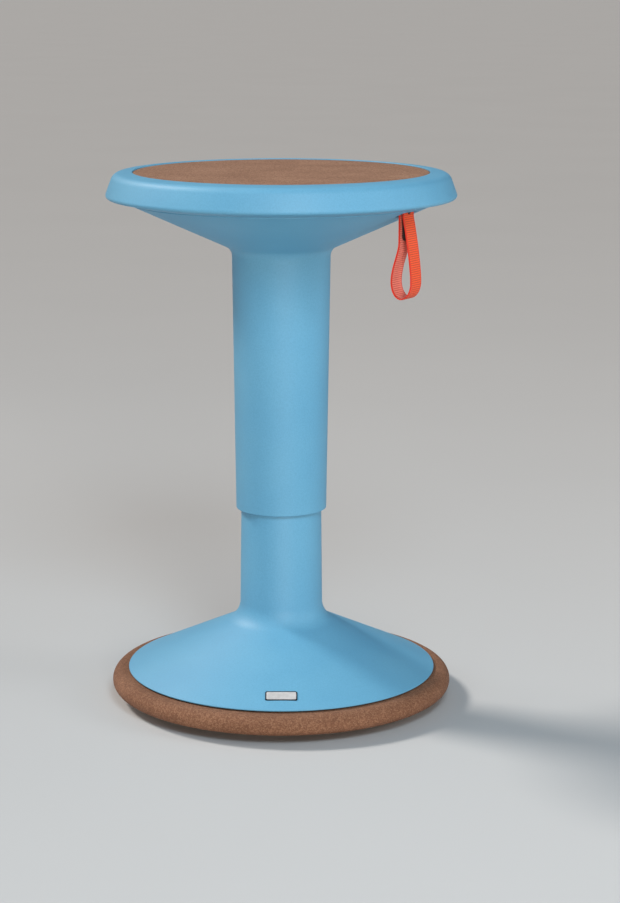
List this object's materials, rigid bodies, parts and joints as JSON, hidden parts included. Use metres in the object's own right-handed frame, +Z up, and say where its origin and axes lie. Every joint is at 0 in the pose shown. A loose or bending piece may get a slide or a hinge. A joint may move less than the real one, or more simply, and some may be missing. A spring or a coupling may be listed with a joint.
{
  "type": "wobble stool",
  "caption": "Height-adjustable wobble stool: flat round seat on a telescopic gas-lift column over a domed anti-slip foot, with a webbing pull loop that works the height release.",
  "frame": {"origin": "on the floor under the column's axis, at the bottom centre of the whole stool", "axes": "+Z up along the column; +X from the column towards the strap and along the release lever; +Y completes a right-handed frame"},
  "size_m": [0.3452, 0.3452, 0.5349],
  "materials": {
    "sky_blue_moulding": "satin moulded polypropylene with a fine grain",
    "brown_tread": "brown speckled anti-slip compound",
    "brown_pad": "brown speckled anti-slip mat",
    "black_moulding": "moulded black nylon",
    "orange_webbing": "ribbed woven webbing, orange-red",
    "silver_badge": "anodised silver plate, blank",
    "zinc_steel": "zinc-plated steel",
    "black_steel": "black painted steel tube",
    "ground_steel": "ground bright steel",
    "cast_iron": "as-cast iron",
    "white_acetal": "white acetal",
    "black_rubber": "black nitrile rubber",
    "die_cast_alloy": "die-cast alloy"
  },
  "bodies": {
    "base": {"foot_shell": "sky_blue_moulding", "tread": "brown_tread", "base_plate": "black_moulding", "ballast_ring": "cast_iron", "stand_tube": "black_steel", "guide_bush": "white_acetal", "column_collar": "black_moulding", "badge_plate": "silver_badge", "lower_race": "zinc_steel", "thrust_bearing": "zinc_steel", "ballast_screw_1": "zinc_steel", "ballast_screw_2": "zinc_steel", "ballast_screw_3": "zinc_steel", "base_screw_1": "zinc_steel", "base_screw_2": "zinc_steel", "base_screw_3": "zinc_steel", "base_screw_4": "zinc_steel", "base_screw_5": "zinc_steel", "base_screw_6": "zinc_steel"},
    "rod": {"piston_rod": "ground_steel", "piston": "die_cast_alloy", "upper_race": "zinc_steel", "rod_washer": "zinc_steel", "rod_clip": "black_steel", "bump_stop": "black_rubber"},
    "seat": {"gas_cylinder": "black_steel", "rod_guide": "white_acetal", "rod_seal": "black_rubber", "valve_block": "die_cast_alloy", "seat_lower_shell": "sky_blue_moulding", "seat_top_shell": "sky_blue_moulding", "seat_pad": "brown_pad", "taper_hub": "die_cast_alloy", "seat_plate": "zinc_steel", "lever_bracket": "zinc_steel", "lever_pivot_pin": "ground_steel", "seat_screw_1": "zinc_steel", "seat_screw_2": "zinc_steel", "seat_screw_3": "zinc_steel", "seat_screw_4": "zinc_steel", "seat_screw_5": "zinc_steel", "seat_screw_6": "zinc_steel", "hub_screw_1": "zinc_steel", "hub_screw_2": "zinc_steel", "hub_screw_3": "zinc_steel", "hub_screw_4": "zinc_steel"},
    "lever": {"release_lever": "zinc_steel", "strap_pin": "ground_steel"},
    "valve": {"valve_pin": "ground_steel"},
    "strap": {"strap_loop": "orange_webbing", "strap_tongue": "black_moulding", "strap_rivet": "zinc_steel"}
  },
  "joints": [
    {"name": "seat_swivel", "type": "hinge", "parent": "base", "child": "rod", "pos_m": [0, 0, 0.0325], "axis": [0, 0, 1], "continuous": true},
    {"name": "height_adjust", "type": "slide", "parent": "rod", "child": "seat", "axis": [0, 0, 1], "range_m": [-0.085, 0.095]},
    {"name": "lever_pull", "type": "hinge", "parent": "seat", "child": "lever", "pos_m": [-0.045, 0, 0.5135], "axis": [0, 1, 0], "range_deg": [0, 2.55], "stiffness_Nm_per_rad": 60, "springref_deg": -3.44},
    {"name": "valve_travel", "type": "slide", "parent": "seat", "child": "valve", "axis": [0, 0, -1], "range_m": [0, 0.0021]},
    {"name": "strap_swing", "type": "hinge", "parent": "lever", "child": "strap", "pos_m": [0.142, 0, 0.5085], "axis": [0, 1, 0], "range_deg": [-12, 12]}
  ],
  "couplings": [
    {"joint": "valve_travel", "follows": "lever_pull", "m_per_rad": 0.045}
  ]
}
